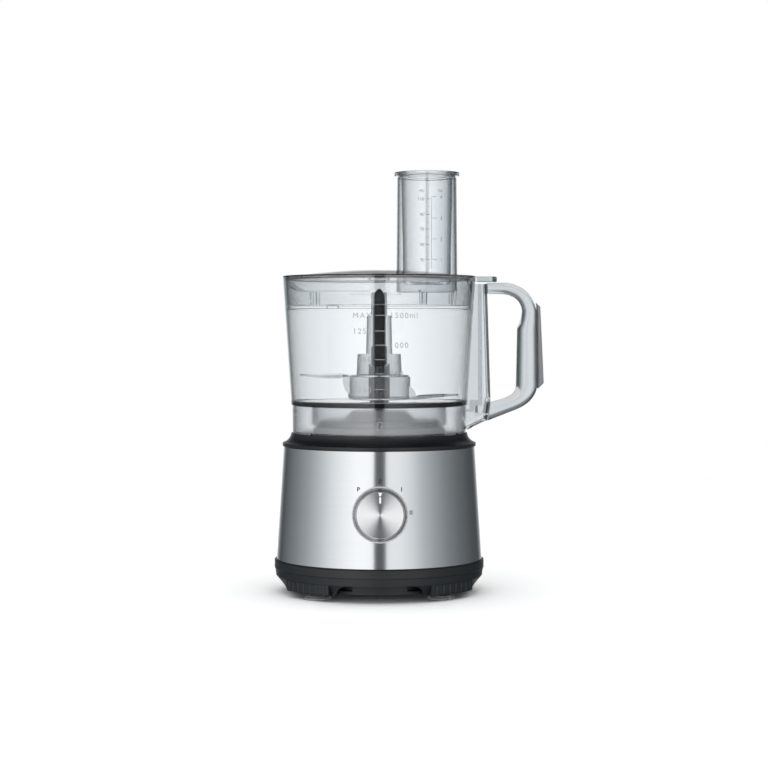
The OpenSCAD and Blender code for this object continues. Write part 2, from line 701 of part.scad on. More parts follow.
module spindle() {
    tip_z = chimney_top + 71;
    color([0.1, 0.1, 0.11]) difference() {
        rotate_extrude() polygon(concat(
            [[0, chimney_top + 0.5], [6.4, chimney_top + 0.5], [6.4, chimney_top + 17.5],
                [5.1, chimney_top + 18.2]],
            bezier([5.1, tip_z - 9], [4.2, tip_z - 2], [0, tip_z], 8)));
        translate([0, 0, chimney_top]) cylinder(r = 4.75, h = 15, $fn = 6);
    }
}

module blade_hub() {
    z = floor_top;
    fin = bezier([33.2, z + 22.6], [33.2, z + 11], [27, z + 6], 8);
    color([0.6, 0.62, 0.64]) difference() {
        union() {
            rotate_extrude() polygon([
                [8.6, z + 1.2], [19, z + 1.2], [19, z + 3.4], [28.4, z + 3.4], [28.4, z + 22.6],
                [20.8, z + 22.6], [19.8, z + 43.4], [12, z + 43.8], [11.2, z + 78.4], [7.6, z + 78.8],
                [7.1, z + 99.3], [5.3, z + 99.3], [5.3, z + 50.4], [6.6, z + 49.7],
                [6.6, z + 34], [8.6, z + 34]]);
            rotate([0, 0, 180]) slab(concat([[20, z + 22.6]], fin, [[20, z + 6]]), 9);
            slab(concat([[20, z + 14]], bezier([28.3, z + 14], [33.4, z + 9], [33.6, z + 4.2], 6),
                [[20, z + 4.2]]), 9);
        }
        rotate_extrude() polygon([
            [12, z + 6], [26.4, z + 6], [26.4, z + 20.6], [18.8, z + 20.6], [18, z + 41.4], [12, z + 41.4]]);
    }
}

// A sickle: its cutting edge sweeps forward and meets the back edge in a point
module sickle() {
    linear_extrude(1.3) polygon(concat(
        bezier([24, -12], [56, -20], [73, 3], 12), bezier([72, 3.6], [48, 3], [24, 12], 10)));
}

module upper_blade() {
    color([0.82, 0.84, 0.86]) difference() {
        union() {
            translate([0, 0, floor_top + 22.8]) rotate([0, 0, 180]) sickle();
            ring(27, 21.2, floor_top + 22.8, 1.3);
        }
        translate([0, 0, floor_top]) cylinder(r = 21.2, h = 40);
    }
}

module lower_blade() {
    lift = 4.6;
    color([0.82, 0.84, 0.86]) {
        translate([26, 0, floor_top + 1.9]) rotate([0, -lift, 0]) translate([-26, 0, 0]) intersection() {
            sickle();
            translate([26, -30, -1]) cube([60, 60, 4]);
        }
        ring(28, 19.2, floor_top + 1.9, 1.3);
    }
}

// ---- lid and pusher ----

module lid_seal() {
    r = bowl_r(ledge_z) - 2.3;
    color([0.92, 0.93, 0.94]) ring(r, r - 2, ledge_z + 0.15, 2.6);
}

module lid() {
    skirt_low = bowl_r(ledge_z + 3) - 2.4;
    skirt_high = bowl_rim_r - 2.4;
    dome_r = (dome_edge_r * dome_edge_r + 36) / 12 + dome_rise / 4;
    dome_top = rim_z + dome_rise;
    edge = asin(dome_edge_r / dome_r);
    dome = arc(0, dome_top - dome_r, dome_r, 90 - edge, 90, 10);
    under = arc(0, dome_top - dome_r, dome_r - 2.2, 90, 90 - edge, 10);
    color([0.85, 0.88, 0.9, 0.4]) difference() {
        union() {
            rotate_extrude() polygon(concat(
                [[skirt_low, ledge_z + 3], [skirt_high, rim_z + 0.2], [bowl_rim_r, rim_z + 0.2],
                [bowl_rim_r, rim_z + 1.2], [bowl_rim_r - 0.4, rim_z + 1.6]], dome, under,
                [[skirt_high - 1.9, rim_z - 1.2], [skirt_low - 1.9, ledge_z + 3]]));
            translate([0, 0, dome_top - 10]) cylinder(r = 10, h = 9);
            translate([tube_x, 0, rim_z - 13]) cylinder(r1 = tube_r + 0.9, r2 = tube_r, h = tube_h + 13);
            intersection() {
                slab([[bowl_rim_r - 2.2, rim_z + 0.2], [bowl_rim_r - 2.2, rim_z + 1.6], [104, rim_z + 0.9],
                    [107.4, rim_z - 0.4], [107.4, rim_z - 3.8], [bowl_rim_r + 0.4, rim_z - 3.8],
                    [bowl_rim_r + 0.4, rim_z + 0.2]], 9);
                translate([0, 0, rim_z - 10]) union() {
                    cylinder(r = 101, h = 20);
                    translate([90, -5, 0]) cube([20, 10, 20]);
                    for (way = [-1, 1]) translate([103.4, way * 5, 0]) cylinder(r = 4, h = 20, $fn = small_fn);
                }
            }
            translate([90.2, 0, 0]) rotate([90, 0, 90]) linear_extrude(4) polygon([
                [-9, rim_z - 3.6], [-9, rim_z - 4.28], [3, rim_z - 5.03], [9, rim_z - 5.03], [9, rim_z - 3.6]]);
        }
        translate([tube_x, 0, rim_z - 14]) cylinder(r1 = tube_r - 1.2, r2 = tube_r - 2, h = tube_h + 15);
        translate([0, 0, dome_top - 11]) cylinder(r = 8, h = 8);
    }
}

module pusher() {
    cup_top_r = tube_r - 3.7;
    cup_low_r = tube_r - 5.5;
    low = rim_z - 6.4;
    top = tube_top + 5.1;
    color([0.85, 0.88, 0.9, 0.4]) translate([tube_x, 0, 0]) rotate_extrude() polygon(concat(
        [[0, low]], bezier([cup_low_r - 3, low], [cup_low_r, low], [cup_low_r, low + 3], 5),
        [[cup_top_r, tube_top + 0.1], [tube_r - 0.8, tube_top + 0.1], [tube_r - 0.8, tube_top + 1.6],
        [pusher_flange_r - 0.4, tube_top + 1.6], [pusher_flange_r, tube_top + 2], [pusher_flange_r, top - 0.6],
        [pusher_flange_r - 0.6, top], [cup_top_r - 1, top], [cup_top_r - 1.7, top - 1],
        [cup_top_r - 1.7, tube_top], [cup_low_r - 1.6, low + 3.4], [cup_low_r - 3.4, low + 1.8],
        [0, low + 1.8]]));
}

base_skirt();
base_plate();
suction_feet();
base_screws();
cord_gland();
inner_housing();
steel_cover();
top_collar();
drive_deck();
shaft_seal();
chassis_plate();
shaft_bearings();
drive_belt();
motor_stator();
field_coils();
lower_motor_bracket();
upper_motor_bracket();
motor_bearings();
brush_holders();
carbon_brushes();
circuit_board();
rotary_switch();
knob_bezel();
bowl_switch();
plunger_spring();
rotor_shaft();
rotor_core();
rotor_windings();
commutator();
cooling_fan();
motor_pulley();
output_shaft();
driven_pulley();
shaft_clip();
knob_body();
knob_cap();
knob_pointer();
knob_shaft();
interlock_ring();
interlock_plunger();
bowl();
interlock_column();
handle();
handle_grip();
safety_rod();
rod_spring();
spindle();
blade_hub();
upper_blade();
lower_blade();
lid_seal();
lid();
pusher();
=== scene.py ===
"""Looks of a food processor: motor base, clear bowl and lid, sickle blade, feed tube and pusher.

All lengths in this file are millimetres until a mesh is made, and heights come from the CAD frame.
"""
import math

import bmesh
import bpy
from mathutils import Matrix, Vector


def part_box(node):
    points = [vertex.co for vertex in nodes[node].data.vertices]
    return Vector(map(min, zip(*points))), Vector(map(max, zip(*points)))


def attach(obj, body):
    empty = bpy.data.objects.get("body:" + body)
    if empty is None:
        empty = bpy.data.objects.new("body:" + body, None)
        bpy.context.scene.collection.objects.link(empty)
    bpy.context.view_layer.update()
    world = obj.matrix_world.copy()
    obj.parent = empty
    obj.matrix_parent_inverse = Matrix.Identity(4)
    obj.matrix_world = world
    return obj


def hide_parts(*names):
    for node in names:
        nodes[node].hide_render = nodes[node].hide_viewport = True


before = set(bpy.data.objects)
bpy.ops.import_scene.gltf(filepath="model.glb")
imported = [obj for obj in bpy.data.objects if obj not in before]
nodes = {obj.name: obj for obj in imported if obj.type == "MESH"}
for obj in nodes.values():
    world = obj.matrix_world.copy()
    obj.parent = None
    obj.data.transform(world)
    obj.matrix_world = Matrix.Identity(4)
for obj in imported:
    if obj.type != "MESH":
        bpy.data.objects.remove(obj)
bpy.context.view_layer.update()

MM = 0.001
SEGMENTS = 192
scene = bpy.context.scene


# ---- places, read from the frame ----

def low(node):
    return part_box(node)[0] / MM


def high(node):
    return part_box(node)[1] / MM


def radius_at(node, z):
    """The greatest distance from the drive axis among a node's points near one height."""
    points = [v.co / MM for v in nodes[node].data.vertices]
    return max(math.hypot(p.x, p.y) for p in points if abs(p.z - z) < 0.7)


cover_low = low("steel_cover").z
cover_high = high("steel_cover").z
cover_low_r = radius_at("steel_cover", cover_low)
cover_high_r = radius_at("steel_cover", cover_high)
bowl_z = high("top_collar").z + 1.4
floor_top = low("blade_hub").z - 1.2
floor_z = floor_top - 3
chimney_top = floor_top + 32
rim_z = high("bowl").z
ledge_z = low("lid_seal").z - 0.15
skirt_r = 79.1
floor_r = radius_at("bowl", floor_top)
rim_r = radius_at("bowl", rim_z) + 0.3
clear_t = 2.4
column_x = high("interlock_column").x
column_top = high("interlock_column").z
column_half = high("interlock_column").y
tube_x = (low("pusher").x + high("pusher").x) / 2
tube_top = high("lid").z
tube_r = 27.2
flange_r = (high("pusher").x - low("pusher").x) / 2
flange_top = high("pusher").z
knob_z = (low("knob_bezel").z + high("knob_bezel").z) / 2 - 0.1
knob_h = 15


def cover_r(z):
    return cover_low_r + (z - cover_low) * (cover_high_r - cover_low_r) / (cover_high - cover_low)


def bowl_r(z):
    return floor_r + (z - floor_top) * (rim_r - floor_r) / (rim_z - floor_top)


cover_tilt = math.atan((cover_low_r - cover_high_r) / (cover_high - cover_low))
ON_COVER = (Matrix.Translation(Vector((0, -cover_r(knob_z), knob_z)) * MM)
            @ Matrix.Rotation(math.pi / 2 - cover_tilt, 4, "X"))


# ---- outlines ----

def bezier(a, b, c, steps=8):
    a, b, c = Vector(a), Vector(b), Vector(c)
    spans = [i / steps for i in range(steps + 1)]
    return [(1 - t) ** 2 * a + 2 * t * (1 - t) * b + t * t * c for t in spans]


def line(a, b, steps):
    return [Vector(a).lerp(Vector(b), i / steps) for i in range(steps + 1)]


def fillet(corners, steps=5):
    """Closed outline from (x, y) or (x, y, radius) corners, with each given radius turned into an arc."""
    outline = []
    count = len(corners)
    for i, corner in enumerate(corners):
        here = Vector(corner[:2])
        if len(corner) < 3:
            outline.append(here)
            continue
        back = Vector(corners[i - 1][:2]) - here
        ahead = Vector(corners[(i + 1) % count][:2]) - here
        half = back.angle(ahead) / 2
        reach = min(corner[2] / math.tan(half), 0.48 * back.length, 0.48 * ahead.length)
        start = here + back.normalized() * reach
        end = here + ahead.normalized() * reach
        middle = back.normalized() + ahead.normalized()
        centre = here + middle.normalized() * (reach / math.cos(half))
        radius = (start - centre).length
        first = math.atan2(start.y - centre.y, start.x - centre.x)
        sweep = math.atan2(end.y - centre.y, end.x - centre.x) - first
        sweep = (sweep + math.pi) % (2 * math.pi) - math.pi
        for k in range(steps + 1):
            angle = first + sweep * k / steps
            outline.append(centre + radius * Vector((math.cos(angle), math.sin(angle))))
    return outline


# ---- mesh makers ----

made_pieces = []


def piece(name, bm, body, material, stands_for=(), crease=35):
    """Turns a bmesh in metres into a shaded object that rides on a body."""
    bmesh.ops.remove_doubles(bm, verts=bm.verts, dist=1e-7)
    bmesh.ops.recalc_face_normals(bm, faces=bm.faces)
    mesh = bpy.data.meshes.new(name)
    bm.to_mesh(mesh)
    bm.free()
    thing = bpy.data.objects.new(name, mesh)
    scene.collection.objects.link(thing)
    mesh.materials.append(material)
    shade(thing, crease)
    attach(thing, body)
    if stands_for:
        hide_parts(*stands_for)
    made_pieces.append(thing)
    return thing


def shade(thing, crease):
    thing.data.shade_smooth()
    thing.data.set_sharp_from_angle(angle=math.radians(crease))


def skin(bm, rings, closed_rings=True, closed_path=False, caps=False):
    """Quads between neighbouring rings of vertices. A ring of one vertex is a pole."""
    pairs = list(zip(rings, rings[1:]))
    if closed_path:
        pairs.append((rings[-1], rings[0]))
    size = max(len(ring) for ring in rings)
    for first, second in pairs:
        for i in range(size if closed_rings else size - 1):
            j = (i + 1) % size
            corners = []
            for ring, k in ((first, i), (first, j), (second, j), (second, i)):
                vertex = ring[k % len(ring)]
                if vertex not in corners:
                    corners.append(vertex)
            if len(corners) > 2:
                bm.faces.new(corners)
    if caps:
        bm.faces.new(rings[0])
        bm.faces.new(reversed(rings[-1]))


def revolve(outline, centre_x=0, segments=SEGMENTS):
    """Turns an outline of (radius, height) about a vertical axis. It closes on itself unless it starts
    on the axis."""
    bm = bmesh.new()
    rings = []
    for r, z in outline:
        count = segments if r > 1e-6 else 1
        angles = [2 * math.pi / segments * i for i in range(count)]
        places = [Vector((centre_x + r * math.cos(a), r * math.sin(a), z)) for a in angles]
        rings.append([bm.verts.new(p * MM) for p in places])
    skin(bm, rings, closed_path=outline[0][0] > 1e-6)
    return bm


def loft(sections, caps=True):
    """Joins closed sections, each a list of points, into a skin."""
    bm = bmesh.new()
    rings = [[bm.verts.new(Vector(p) * MM) for p in section] for section in sections]
    skin(bm, rings, caps=caps)
    return bm


def arc_block(r_out, r_in, z_low, z_high, middle, half, steps=24, lift=0):
    """A block bent round the drive axis, from middle - half to middle + half degrees.
    Its start may be lifted."""
    sections = []
    for i in range(steps + 1):
        angle = math.radians(middle + half * (2 * i / steps - 1))
        rise = lift * (1 - i / steps) ** 2
        outline = fillet([(r_in, z_low, 0.25), (r_out, z_low, 0.25), (r_out, z_high), (r_in, z_high)], 3)
        sections.append([(r * math.cos(angle), r * math.sin(angle), z + rise) for r, z in outline])
    return loft(sections)


def plate(points, half):
    """An outline in X and Z, as thick as half to both sides of Y = 0."""
    return loft([[(x, y, z) for x, z in points] for y in (-half, half)])


def box(low_corner, high_corner):
    (x0, y0, z0), (x1, y1, z1) = low_corner, high_corner
    return loft([[(x0, y0, z), (x1, y0, z), (x1, y1, z), (x0, y1, z)] for z in (z0, z1)])


def rod(start, end, radius, sides=32):
    """A round bar between two points, used as a cutter."""
    start, end = Vector(start), Vector(end)
    turn = (end - start).to_track_quat("Z", "Y").to_matrix()
    ring = [turn @ Vector((radius * math.cos(a), radius * math.sin(a), 0))
            for a in (2 * math.pi * i / sides for i in range(sides))]
    return loft([[p + end_point for p in ring] for end_point in (start, end)])


def settle(thing):
    """Applies an object's modifiers."""
    ready = thing.evaluated_get(bpy.context.evaluated_depsgraph_get())
    mesh = bpy.data.meshes.new_from_object(ready)
    thing.modifiers.clear()
    thing.data = mesh


def combine(thing, tool, operation, crease=35):
    """Cuts a bmesh from an object, or joins it on."""
    bmesh.ops.recalc_face_normals(tool, faces=tool.faces)
    mesh = bpy.data.meshes.new("tool")
    tool.to_mesh(mesh)
    tool.free()
    helper = bpy.data.objects.new("tool", mesh)
    scene.collection.objects.link(helper)
    modifier = thing.modifiers.new("combine", "BOOLEAN")
    modifier.operation = operation
    modifier.solver = "EXACT"
    modifier.object = helper
    settle(thing)
    bpy.data.objects.remove(helper)
    shade(thing, crease)


def even_out(thing):
    """Lets large faces set the normals, so that small fillets don't bend the light across them."""
    modifier = thing.modifiers.new("even", "WEIGHTED_NORMAL")
    modifier.weight = 100
    modifier.keep_sharp = True
    settle(thing)


# ---- materials ----

def material(name, colour, roughness, **sockets):
    made = bpy.data.materials.new(name)
    made.use_nodes = True
    shader = made.node_tree.nodes["Principled BSDF"]
    shader.inputs["Base Color"].default_value = (*colour, 1)
    shader.inputs["Roughness"].default_value = roughness
    for socket, value in sockets.items():
        shader.inputs[socket.replace("_", " ")].default_value = value
    return made


def add_node(made, kind):
    return made.node_tree.nodes.new(kind)


def connect(made, source, target):
    made.node_tree.links.new(source, target)


def shader_of(made):
    return made.node_tree.nodes["Principled BSDF"]


def noise(made, stretch, detail=3, kind="ShaderNodeTexNoise"):
    """A noise over the object's own coordinates, with so many features per metre along each axis."""
    place = add_node(made, "ShaderNodeTexCoord")
    mapping = add_node(made, "ShaderNodeMapping")
    mapping.inputs["Scale"].default_value = stretch
    texture = add_node(made, kind)
    texture.inputs["Scale"].default_value = 1
    texture.inputs["Detail"].default_value = detail
    connect(made, place.outputs["Object"], mapping.inputs["Vector"])
    connect(made, mapping.outputs["Vector"], texture.inputs["Vector"])
    return texture.outputs["Fac"]


def bump(made, height, depth, strength=1.0):
    """Raises the surface by a texture, depth in millimetres."""
    node = add_node(made, "ShaderNodeBump")
    node.inputs["Strength"].default_value = strength
    node.inputs["Distance"].default_value = depth * MM
    connect(made, height, node.inputs["Height"])
    connect(made, node.outputs["Normal"], shader_of(made).inputs["Normal"])


def vary_roughness(made, source, least, most):
    ramp = add_node(made, "ShaderNodeMapRange")
    ramp.inputs["From Min"].default_value = 0.3
    ramp.inputs["From Max"].default_value = 0.7
    ramp.inputs["To Min"].default_value = least
    ramp.inputs["To Max"].default_value = most
    connect(made, source, ramp.inputs["Value"])
    connect(made, ramp.outputs["Result"], shader_of(made).inputs["Roughness"])


def vary_colour(made, source, first, second):
    ramp = add_node(made, "ShaderNodeValToRGB")
    ramp.color_ramp.elements[0].position = 0.35
    ramp.color_ramp.elements[0].color = (*first, 1)
    ramp.color_ramp.elements[1].position = 0.65
    ramp.color_ramp.elements[1].color = (*second, 1)
    connect(made, source, ramp.inputs["Fac"])
    connect(made, ramp.outputs["Color"], shader_of(made).inputs["Base Color"])


def radial_tangent(made):
    """Runs the brushing round the object's own Z axis."""
    tangent = add_node(made, "ShaderNodeTangent")
    tangent.direction_type = "RADIAL"
    tangent.axis = "Z"
    connect(made, tangent.outputs["Tangent"], shader_of(made).inputs["Tangent"])


def tinted(colour, factor):
    return tuple(channel * factor for channel in colour)


def brushed(name, colour, roughness, stretch, anisotropic=0.85):
    made = material(name, colour, roughness, Metallic=1, Anisotropic=anisotropic, Anisotropic_Rotation=0.25)
    radial_tangent(made)
    streaks = noise(made, stretch, detail=4)
    vary_colour(made, streaks, tinted(colour, 0.985), tinted(colour, 1.015))
    bump(made, streaks, 0.002, 0.5)
    return made


def moulded(name, colour, roughness, grain=900, depth=0.02, **sockets):
    """Plastic or rubber with a fine moulded grain and slight unevenness of gloss."""
    made = material(name, colour, roughness, **sockets)
    vary_roughness(made, noise(made, (60, 60, 60), detail=4), roughness * 0.88, roughness * 1.14)
    vary_colour(made, noise(made, (25, 25, 25)), tinted(colour, 0.95), tinted(colour, 1.05))
    bump(made, noise(made, (grain, grain, grain), detail=2), depth, 0.6)
    return made


def metal(name, colour, roughness, stretch=(300, 300, 300)):
    made = material(name, colour, roughness, Metallic=1)
    wear = noise(made, stretch, detail=5)
    vary_roughness(made, wear, roughness * 0.8, roughness * 1.25)
    bump(made, wear, 0.006, 0.4)
    return made


def clear(name, colour, roughness, ior=1.47, grain=0.0015, absorb=26):
    """See-through plastic. A trace of waviness and of handling marks keeps it from looking like optical
    glass. It swallows light along the way, so walls seen edge on are darker."""
    made = material(name, colour, roughness, Transmission_Weight=1, IOR=ior)
    depth = add_node(made, "ShaderNodeVolumeAbsorption")
    depth.inputs["Color"].default_value = (0.05, 0.12, 0.15, 1)
    depth.inputs["Density"].default_value = absorb
    connect(made, depth.outputs["Volume"], made.node_tree.nodes["Material Output"].inputs["Volume"])
    vary_roughness(made, noise(made, (90, 90, 40), detail=5), roughness * 0.5, roughness * 1.6)
    bump(made, noise(made, (55, 55, 18), detail=1), grain * 20, 0.35)
    return made


def haze_below(made, z, roughness):
    """Makes a clear plastic hazy below a height."""
    place = add_node(made, "ShaderNodeTexCoord")
    split = add_node(made, "ShaderNodeSeparateXYZ")
    step = add_node(made, "ShaderNodeMapRange")
    step.inputs["From Min"].default_value = (z - 1) * MM
    step.inputs["From Max"].default_value = z * MM
    step.inputs["To Min"].default_value = roughness
    step.inputs["To Max"].default_value = shader_of(made).inputs["Roughness"].default_value
    connect(made, place.outputs["Object"], split.inputs["Vector"])
    connect(made, split.outputs["Z"], step.inputs["Value"])
    connect(made, step.outputs["Result"], shader_of(made).inputs["Roughness"])


STEEL = brushed("brushed_cover_steel", (0.64, 0.655, 0.67), 0.22, (14, 14, 3500), 0.93)
KNOB_STEEL = brushed("spun_knob_steel", (0.95, 0.955, 0.96), 0.22, (900, 900, 20), 0.98)
BLADE_STEEL = metal("ground_blade_steel", (0.66, 0.68, 0.70), 0.2, (40, 900, 900))
CHROME = moulded("satin_chrome", (0.86, 0.87, 0.88), 0.16, grain=60, depth=0.004, Metallic=0.45)
# Painted shade: the knob's side gets a much darker chrome than the bezel, standing in for the shade in the
# gap between the knob face and the bezel.
KNOB_GAP_SHADE = metal("chrome_with_painted_gap_shade", (0.36, 0.37, 0.385), 0.16)
SHAFT_STEEL = metal("ground_shaft_steel", (0.55, 0.56, 0.58), 0.22, (60, 60, 1500))
DARK_STEEL = metal("blackened_shaft_steel", (0.06, 0.065, 0.07), 0.3, (60, 60, 1500))
COLLAR = moulded("satin_black_collar", (0.005, 0.007, 0.0085), 0.33)
SKIRT = moulded("textured_dark_skirt", (0.009, 0.0125, 0.0145), 0.4, grain=1300, depth=0.03)
PLATE = moulded("dark_base_plate", (0.010, 0.0135, 0.0155), 0.45, grain=1300, depth=0.03)
DECK = moulded("satin_silver_deck", (0.84, 0.85, 0.86), 0.32)
FEET = moulded("grey_suction_rubber", (0.86, 0.87, 0.875), 0.25, Transmission_Weight=0.5)
CLEAR = clear("clear_plastic", (0.965, 0.97, 0.975), 0.01, ior=1.58, absorb=32)
LID_CLEAR = clear("clear_lid_plastic", (0.955, 0.96, 0.965), 0.01, ior=1.58, absorb=38)
BOWL_CLEAR = clear("clear_bowl_plastic", (0.965, 0.97, 0.975), 0.01, ior=1.58, absorb=32)
FROSTED = clear("frosted_plastic", (0.84, 0.85, 0.86), 0.13, grain=0.0002, absorb=20)
COLUMN = clear("clear_column_plastic", (0.86, 0.87, 0.88), 0.03, ior=1.58)
HUB = clear("smoky_hub_plastic", (0.66, 0.675, 0.69), 0.14, ior=1.13, grain=0.0003, absorb=3)
GRIP = moulded("soft_touch_grip", (0.20, 0.215, 0.23), 0.42)
SPINDLE = moulded("black_spindle_plastic", (0.005, 0.006, 0.007), 0.22)
SILICONE = clear("clear_silicone", (0.99, 0.99, 0.99), 0.05, ior=1.1, grain=0.0002, absorb=2)
PRINT = moulded("grey_scale_print", (0.36, 0.375, 0.39), 0.5)
# Painted shade: a dark colour for strips that stand in for the dark look of moulded edges in the clear bowl.
EDGE_SHADE = moulded("painted_edge_shade", (0.10, 0.11, 0.12), 0.4)
BLACK_PRINT = moulded("black_label_print", (0.02, 0.022, 0.024), 0.45)
WHITE = moulded("white_pointer_enamel", (0.86, 0.87, 0.88), 0.3)
BLACK = moulded("black_moulding", (0.03, 0.032, 0.035), 0.45)
RUBBER = moulded("matt_rubber", (0.022, 0.022, 0.023), 0.7)
PALE = moulded("pale_slide_plastic", (0.72, 0.72, 0.69), 0.35)
COPPER = metal("enamelled_copper", (0.62, 0.28, 0.13), 0.3, (200, 200, 2400))
BRASS = metal("stamped_brass", (0.60, 0.44, 0.20), 0.28)
LAMINATIONS = metal("stacked_laminations", (0.26, 0.26, 0.28), 0.4, (30, 30, 2000))
CAST = metal("cast_aluminium", (0.52, 0.53, 0.55), 0.38)
CARBON = moulded("pressed_carbon", (0.03, 0.03, 0.03), 0.75)
BOARD = moulded("solder_mask", (0.03, 0.19, 0.08), 0.3)

for members, made in (
    (["base_skirt"], SKIRT), (["base_plate"], PLATE), (["suction_feet"], FEET), (["top_collar"], COLLAR),
    (["drive_deck"], DECK), (["cord_gland", "shaft_seal", "drive_belt"], RUBBER),
    (["inner_housing", "rotary_switch", "bowl_switch", "cooling_fan", "driven_pulley"], BLACK),
    (["base_screws", "rotor_shaft", "knob_shaft", "shaft_bearings", "motor_bearings",
      "plunger_spring", "rod_spring", "shaft_clip"], SHAFT_STEEL),
    # knob_body takes the darkened chrome, which is painted shade for the gap round the knob face.
    (["output_shaft"], DARK_STEEL), (["knob_bezel"], CHROME), (["knob_body"], KNOB_GAP_SHADE),
    (["knob_pointer"], WHITE), (["interlock_ring"], PALE), (["interlock_plunger"], BLACK),
    (["safety_rod"], FROSTED), (["lid_seal"], SILICONE),
    (["chassis_plate", "lower_motor_bracket", "upper_motor_bracket", "motor_pulley"], CAST),
    (["motor_stator", "rotor_core"], LAMINATIONS), (["field_coils", "rotor_windings", "commutator"], COPPER),
    (["brush_holders"], BRASS), (["carbon_brushes"], CARBON), (["circuit_board"], BOARD),
):
    for member in members:
        nodes[member].data.materials.clear()
        nodes[member].data.materials.append(made)


# ---- base ----

sheet_t = 0.8
cover = piece("brushed_cover", revolve(fillet([
    (cover_low_r - sheet_t, cover_low, 0.3), (cover_low_r, cover_low, 0.35),
    (cover_high_r, cover_high, 0.35), (cover_high_r - sheet_t, cover_high, 0.3)]), segments=256),
    "base", STEEL, ["steel_cover"])
knob_out = ON_COVER.to_3x3() @ Vector((0, 0, 1))
knob_foot = ON_COVER.translation / MM
combine(cover, rod(knob_foot - knob_out * 6, knob_foot + knob_out * 6, 7), "DIFFERENCE")
combine(cover, box((-0.15, 80, cover_low - 2), (0.15, 100, cover_high + 2)), "DIFFERENCE")

# ---- knob face: a spun disc with its own Z axis along the knob's axis ----

face_r = 20.45
face_h = knob_h - 0.05
face = piece("spun_knob_face", revolve(fillet([
    (0, face_h), (face_r - 0.5, face_h, 0.2), (face_r, face_h - 0.4, 0.3), (face_r, face_h - 1.4, 0.2),
    (0, face_h - 1.4)]), segments=128), "base", KNOB_STEEL, ["knob_cap"])
for marks in ([(-0.8, 10.3), (0.8, 10.3), (0.8, 15.5), (-0.8, 15.5)],
              [(-0.7, 16.5), (0.7, 16.5), (1.6, 19.4), (-1.6, 19.4)]):
    combine(face, loft([[(x, y, knob_h + lift) for x, y in marks] for lift in (-0.6, 1)]), "DIFFERENCE")
face.parent = None
face.matrix_world = ON_COVER
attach(face, "knob")

# ---- bowl ----

chimney_r = 8.2
chimney_bore_r = 6.4
inner_ring_r = 61.4
inner_ring_t = 1.6
inner_ring_low = floor_z - 18
bowl = piece("clear_bowl", revolve(fillet([
    (skirt_r - clear_t + 0.1, bowl_z, 0.4), (skirt_r, bowl_z, 0.6), (skirt_r + 0.2, floor_z - 0.6, 0.5),
    (floor_r - 0.2, floor_z - 0.2, 0.4), (floor_r, floor_top, 0.8), (rim_r - 0.3, rim_z, 0.7),
    (rim_r - 1.9, rim_z, 0.5), (bowl_r(ledge_z) - 2, ledge_z, 0.3), (bowl_r(ledge_z) - 3, ledge_z, 0.3),
    (floor_r - clear_t, floor_top, 1.6), (chimney_r, floor_top, 1.2), (chimney_r, chimney_top, 0.5),
    (chimney_bore_r, chimney_top, 0.4), (chimney_bore_r, floor_z, 0.4),
    (inner_ring_r - inner_ring_t, floor_z, 0.4), (inner_ring_r - inner_ring_t, inner_ring_low, 0.4),
    (inner_ring_r, inner_ring_low, 0.4), (inner_ring_r, floor_z, 0.4),
    (skirt_r - clear_t + 0.1, floor_z, 0.5)])),
    "bowl_unit", BOWL_CLEAR, ["bowl"])
haze_below(BOWL_CLEAR, floor_z - 1, 0.13)
tongue_low = low("bowl").z
for middle in (206, 346, 96):
    combine(bowl, arc_block(78.8, 76.9, tongue_low, bowl_z + 1, middle, 13), "UNION")
combine(bowl, box((70, -2.3, floor_z - 8), (85, 2.3, floor_z - 0.6)), "DIFFERENCE")


# ---- interlock column: a channel that stands on the bowl's side ----

def column_section(z, outside, inside):
    """One level of the channel, from the bowl's wall out to x = outside, hollow out to x = inside."""
    wall = (bowl_r(z) if z > floor_top else skirt_r + 0.3) + 0.08
    points = []
    for reach, inset in ((outside, 0), (inside, 2)):
        half = column_half - inset
        reach = max(reach, wall + 0.01)
        radius = min(6 - inset, reach - wall)
        side = [(math.sqrt(wall * wall - half * half), -half)]
        turn = [(reach - radius + radius * math.cos(a), -half + radius + radius * math.sin(a))
                for a in (math.radians(-90 + 11.25 * i) for i in range(9))]
        path = side + turn + [(x, -y) for x, y in reversed(turn)] + [(side[0][0], half)]
        points += [(x, y, z) for x, y in (path if inset == 0 else reversed(path))]
    return points


def column_reach(z):
    """How far out the column stands at a height: up a slope, then along the leaning outer face."""
    profile = [(bowl_z + 1, 79.7), (bowl_z + 9.9, 98.6), (floor_top, column_x), (column_top, column_x - 3.2)]
    if z <= profile[0][0]:
        return profile[0][1]
    for (z0, x0), (z1, x1) in zip(profile, profile[1:]):
        if z <= z1:
            return x0 + (x1 - x0) * (z - z0) / (z1 - z0)
    return profile[-1][1]


levels = [bowl_z + 1.6 + 0.8 * i for i in range(11)]
levels += [bowl_z + 9.9 + (floor_top - bowl_z - 9.9) * i / 8 for i in range(9)]
levels += [floor_top + (column_top - floor_top) * i / 24 for i in range(1, 25)]
column = piece("clear_column", loft([column_section(z, column_reach(z), column_reach(z - 2.4) - 2)
                                     for z in levels]),
               "bowl_unit", COLUMN, ["interlock_column"])
# The shelf that the rod's spring stands on
shelf_top = low("rod_spring").z - 0.05
combine(column, box((87, -8.2, shelf_top - 2), (99.4, 8.2, shelf_top)), "UNION")


# ---- handle: a rounded bar between an outer and an inner curve ----

